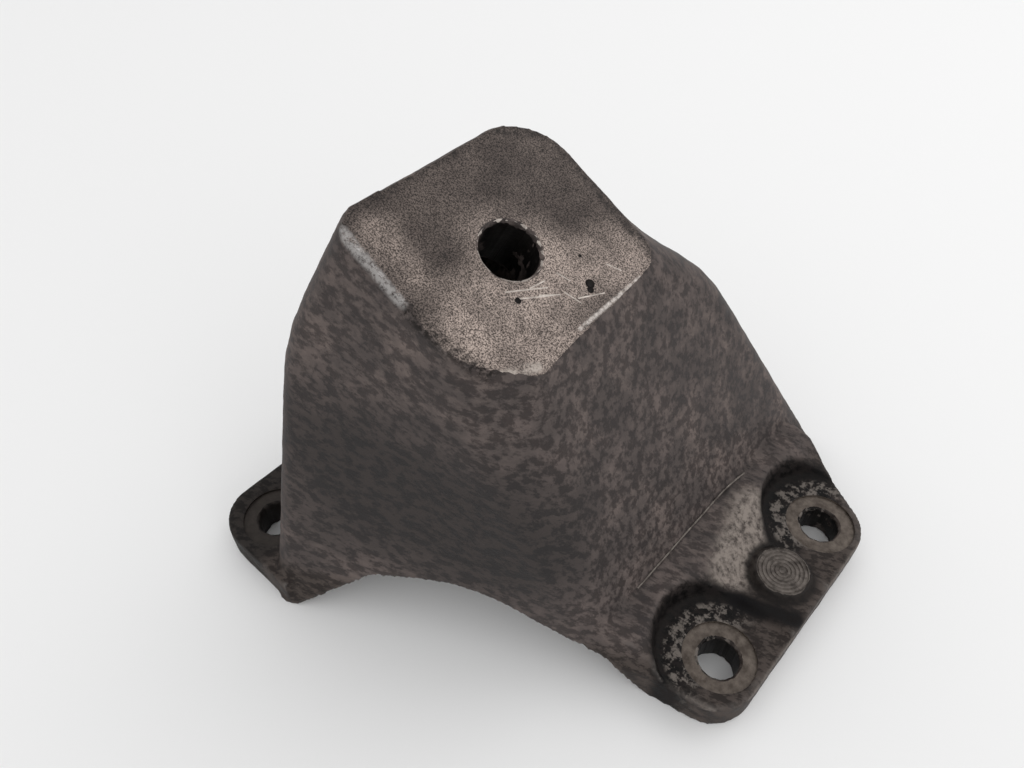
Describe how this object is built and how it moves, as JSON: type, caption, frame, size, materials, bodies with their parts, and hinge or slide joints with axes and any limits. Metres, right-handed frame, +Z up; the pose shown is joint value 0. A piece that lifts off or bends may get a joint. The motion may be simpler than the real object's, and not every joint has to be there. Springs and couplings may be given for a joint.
{
  "type": "engine mount",
  "caption": "Cast aluminium engine mount bracket: hollow tower with a tilted, bored machined top face, bolt feet on both sides and an arched front wall.",
  "frame": {"origin": "on the seating plane, midway between the two bolt holes of the right foot", "axes": "+Z up, square to the seating plane; +Y along the right foot's bolt line, away from the arched front wall; +X towards the right foot's outer edge"},
  "size_m": [0.1425, 0.1498, 0.1197],
  "materials": {
    "cast_aluminium": "satin"
  },
  "bodies": {
    "root": {"mount_bracket": "cast_aluminium"}
  },
  "joints": []
}
